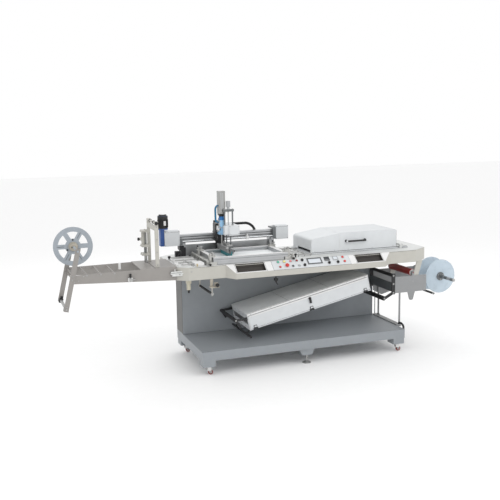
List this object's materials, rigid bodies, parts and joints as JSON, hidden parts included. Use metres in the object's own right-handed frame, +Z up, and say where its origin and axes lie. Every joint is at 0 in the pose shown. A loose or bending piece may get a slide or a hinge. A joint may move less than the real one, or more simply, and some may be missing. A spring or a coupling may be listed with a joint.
{
  "type": "web screen printing machine",
  "caption": "Reel-to-reel flat-bed screen printing machine: web reels, print table with travelling squeegee carriage, sloping console, dryer hood and inclined drying tunnel.",
  "frame": {"origin": "on the floor under the middle of the machine's bounding box", "axes": "+X along the web from the unwind reel to the rewind reel, +Y to the rear cabinet, +Z up"},
  "size_m": [4.2909, 0.94, 1.731],
  "materials": {
    "grey_paint": "satin",
    "beige_paint": "satin",
    "warm_grey_paint": "satin",
    "dark_grey_paint": "satin",
    "white_paint": "satin",
    "black_paint": "satin",
    "blue_paint": "satin",
    "steel_plate": "brushed",
    "zinc_steel": "satin",
    "aluminium": "satin",
    "beige_plastic": "matte",
    "black_plastic": "gloss",
    "red_plastic": "gloss",
    "grey_plastic": "gloss",
    "lamp_plastic": "gloss",
    "pale_blue_plastic": "satin",
    "clear_plastic": "gloss",
    "red_rubber": "satin",
    "black_rubber": "matte",
    "blade_rubber": "matte",
    "wheel_rubber": "matte"
  },
  "bodies": {
    "frame": {"plinth": "grey_paint", "rear_cabinet": "grey_paint", "table_frame": "beige_paint", "table_top": "steel_plate", "console_housing": "beige_paint", "control_panel": "white_paint", "infeed_frame": "warm_grey_paint", "reel_uprights": "warm_grey_paint", "web_guide_stand": "beige_paint", "gear_motor": "blue_paint", "beam_end_covers": "white_paint", "carriage_beam": "aluminium", "hood_base": "white_paint", "rewind_frame": "dark_grey_paint", "tunnel_body": "white_paint", "tunnel_arms": "black_paint", "printing_screen": "aluminium", "screen_clamps": "steel_plate", "air_filter": "beige_plastic", "levelling_feet": "zinc_steel", "pilot_lamps": "lamp_plastic"},
    "unwind_reel": {"unwind_reel": "pale_blue_plastic"},
    "upright_roller": {"upright_roller": "zinc_steel"},
    "rewind_reel": {"rewind_shaft": "zinc_steel", "rewind_discs": "clear_plastic"},
    "rewind_guide_roller": {"rewind_guide_roller": "zinc_steel"},
    "pull_roller": {"pull_roller": "red_rubber"},
    "tunnel_entry_roller": {"tunnel_entry_roller": "black_rubber"},
    "tunnel_exit_roller": {"tunnel_exit_roller": "black_rubber"},
    "tunnel_lower_roller": {"tunnel_lower_roller": "black_rubber"},
    "return_roller": {"return_roller": "black_rubber"},
    "carriage": {"carriage_plate": "black_paint", "carriage_cover": "white_paint", "squeegee_cylinder": "aluminium", "energy_hose": "black_rubber"},
    "squeegee": {"squeegee_holder": "aluminium", "squeegee_blade": "blade_rubber"},
    "flood_bar": {"flood_bar": "zinc_steel"},
    "pressure_knob": {"pressure_knob": "black_plastic"},
    "hood_lid": {"hood_lid": "white_paint"},
    "tunnel_door": {"tunnel_door": "white_paint"},
    "tunnel_latch": {"tunnel_latch": "black_plastic"},
    "caster_fork_front_left": {"caster_fork_front_left": "zinc_steel"},
    "caster_wheel_front_left": {"caster_wheel_front_left": "wheel_rubber"},
    "caster_fork_front_right": {"caster_fork_front_right": "zinc_steel"},
    "caster_wheel_front_right": {"caster_wheel_front_right": "wheel_rubber"},
    "caster_fork_back_left": {"caster_fork_back_left": "zinc_steel"},
    "caster_wheel_back_left": {"caster_wheel_back_left": "wheel_rubber"},
    "caster_fork_back_right": {"caster_fork_back_right": "zinc_steel"},
    "caster_wheel_back_right": {"caster_wheel_back_right": "wheel_rubber"},
    "stop_button": {"stop_button": "red_plastic"},
    "reset_button": {"reset_button": "red_plastic"},
    "vacuum_button": {"vacuum_button": "red_plastic"},
    "jog_button_left": {"jog_button_left": "grey_plastic"},
    "jog_button_right": {"jog_button_right": "grey_plastic"},
    "emergency_stop": {"emergency_stop": "red_plastic"},
    "upper_selector": {"upper_selector": "black_plastic"},
    "lower_selector": {"lower_selector": "black_plastic"},
    "left_heat_knob": {"left_heat_knob": "black_plastic"},
    "right_heat_knob": {"right_heat_knob": "black_plastic"}
  },
  "joints": [
    {"name": "unwind_reel_spin", "type": "hinge", "parent": "frame", "child": "unwind_reel", "pos_m": [-1.9605, -0.05, 1.265], "axis": [0, 1, 0], "continuous": true},
    {"name": "upright_roller_spin", "type": "hinge", "parent": "frame", "child": "upright_roller", "pos_m": [-2.08773, -0.05, 0.73506], "axis": [0, 1, 0], "continuous": true},
    {"name": "rewind_reel_spin", "type": "hinge", "parent": "frame", "child": "rewind_reel", "pos_m": [1.9605, -0.05, 0.695], "axis": [0, 1, 0], "continuous": true},
    {"name": "rewind_guide_roller_spin", "type": "hinge", "parent": "frame", "child": "rewind_guide_roller", "pos_m": [1.7865, -0.05, 0.545], "axis": [0, 1, 0], "continuous": true},
    {"name": "pull_roller_spin", "type": "hinge", "parent": "frame", "child": "pull_roller", "pos_m": [1.5315, -0.05, 0.792], "axis": [0, 1, 0], "continuous": true},
    {"name": "tunnel_entry_roller_spin", "type": "hinge", "parent": "frame", "child": "tunnel_entry_roller", "pos_m": [1.2945, -0.05, 0.778], "axis": [0, 1, 0], "continuous": true},
    {"name": "tunnel_exit_roller_spin", "type": "hinge", "parent": "frame", "child": "tunnel_exit_roller", "pos_m": [1.1875, -0.05, 0.541], "axis": [0, 1, 0], "continuous": true},
    {"name": "tunnel_lower_roller_spin", "type": "hinge", "parent": "frame", "child": "tunnel_lower_roller", "pos_m": [-0.4655, -0.05, 0.469], "axis": [0, 1, 0], "continuous": true},
    {"name": "return_roller_spin", "type": "hinge", "parent": "frame", "child": "return_roller", "pos_m": [-0.7065, -0.05, 0.764], "axis": [0, 1, 0], "continuous": true},
    {"name": "carriage_slide", "type": "slide", "parent": "frame", "child": "carriage", "axis": [1, 0, 0], "range_m": [-0.14, 0.4]},
    {"name": "squeegee_lift", "type": "slide", "parent": "carriage", "child": "squeegee", "axis": [0, 0, 1], "range_m": [0, 0.03]},
    {"name": "flood_bar_lift", "type": "slide", "parent": "carriage", "child": "flood_bar", "axis": [0, 0, 1], "range_m": [-0.03, 0]},
    {"name": "pressure_knob_turn", "type": "hinge", "parent": "carriage", "child": "pressure_knob", "pos_m": [-0.4525, -0.07, 1.55], "axis": [0, 0, 1], "continuous": true},
    {"name": "hood_hinge", "type": "hinge", "parent": "frame", "child": "hood_lid", "pos_m": [0.8965, 0.312, 1.0775], "axis": [-1, 0, 0], "range_deg": [0, 60]},
    {"name": "tunnel_door_hinge", "type": "hinge", "parent": "frame", "child": "tunnel_door", "pos_m": [0.35086, -0.299, 0.50872], "axis": [0.977, 0, 0.213], "range_deg": [0, 95]},
    {"name": "tunnel_latch_turn", "type": "hinge", "parent": "tunnel_door", "child": "tunnel_latch", "pos_m": [0.32551, -0.301, 0.62499], "axis": [0, 1, 0], "range_deg": [0, 90]},
    {"name": "caster_swivel_front_left", "type": "hinge", "parent": "frame", "child": "caster_fork_front_left", "pos_m": [-0.8005, -0.4075, 0.07], "axis": [0, 0, 1], "continuous": true},
    {"name": "caster_roll_front_left", "type": "hinge", "parent": "caster_fork_front_left", "child": "caster_wheel_front_left", "pos_m": [-0.7745, -0.4075, 0.023], "axis": [0, 1, 0], "continuous": true},
    {"name": "caster_swivel_front_right", "type": "hinge", "parent": "frame", "child": "caster_fork_front_right", "pos_m": [1.2635, -0.4075, 0.07], "axis": [0, 0, 1], "continuous": true},
    {"name": "caster_roll_front_right", "type": "hinge", "parent": "caster_fork_front_right", "child": "caster_wheel_front_right", "pos_m": [1.2895, -0.4075, 0.023], "axis": [0, 1, 0], "continuous": true},
    {"name": "caster_swivel_back_left", "type": "hinge", "parent": "frame", "child": "caster_fork_back_left", "pos_m": [-0.8005, 0.4075, 0.07], "axis": [0, 0, 1], "continuous": true},
    {"name": "caster_roll_back_left", "type": "hinge", "parent": "caster_fork_back_left", "child": "caster_wheel_back_left", "pos_m": [-0.7745, 0.4075, 0.023], "axis": [0, 1, 0], "continuous": true},
    {"name": "caster_swivel_back_right", "type": "hinge", "parent": "frame", "child": "caster_fork_back_right", "pos_m": [1.2635, 0.4075, 0.07], "axis": [0, 0, 1], "continuous": true},
    {"name": "caster_roll_back_right", "type": "hinge", "parent": "caster_fork_back_right", "child": "caster_wheel_back_right", "pos_m": [1.2895, 0.4075, 0.023], "axis": [0, 1, 0], "continuous": true},
    {"name": "stop_button_press", "type": "slide", "parent": "frame", "child": "stop_button", "axis": [0, 0.6467, -0.7628], "range_m": [0, 0.003], "stiffness_N_per_m": 500},
    {"name": "reset_button_press", "type": "slide", "parent": "frame", "child": "reset_button", "axis": [0, 0.6467, -0.7628], "range_m": [0, 0.003], "stiffness_N_per_m": 500},
    {"name": "vacuum_button_press", "type": "slide", "parent": "frame", "child": "vacuum_button", "axis": [0, 0.6467, -0.7628], "range_m": [0, 0.003], "stiffness_N_per_m": 500},
    {"name": "jog_button_left_press", "type": "slide", "parent": "frame", "child": "jog_button_left", "axis": [0, 0.6467, -0.7628], "range_m": [0, 0.003], "stiffness_N_per_m": 500},
    {"name": "jog_button_right_press", "type": "slide", "parent": "frame", "child": "jog_button_right", "axis": [0, 0.6467, -0.7628], "range_m": [0, 0.003], "stiffness_N_per_m": 500},
    {"name": "emergency_stop_press", "type": "slide", "parent": "frame", "child": "emergency_stop", "axis": [0, 0.6467, -0.7628], "range_m": [0, 0.003], "stiffness_N_per_m": 1200},
    {"name": "upper_selector_turn", "type": "hinge", "parent": "frame", "child": "upper_selector", "pos_m": [0.2115, -0.36689, 1.0373], "axis": [0, -0.6467, 0.7628], "range_deg": [-60, 60]},
    {"name": "lower_selector_turn", "type": "hinge", "parent": "frame", "child": "lower_selector", "pos_m": [0.2205, -0.41495, 0.99656], "axis": [0, -0.6467, 0.7628], "range_deg": [-60, 60]},
    {"name": "left_heat_knob_turn", "type": "hinge", "parent": "frame", "child": "left_heat_knob", "pos_m": [0.4885, -0.4119, 0.99915], "axis": [0, -0.6467, 0.7628], "range_deg": [-60, 60]},
    {"name": "right_heat_knob_turn", "type": "hinge", "parent": "frame", "child": "right_heat_knob", "pos_m": [0.5845, -0.4119, 0.99915], "axis": [0, -0.6467, 0.7628], "range_deg": [-60, 60]}
  ]
}
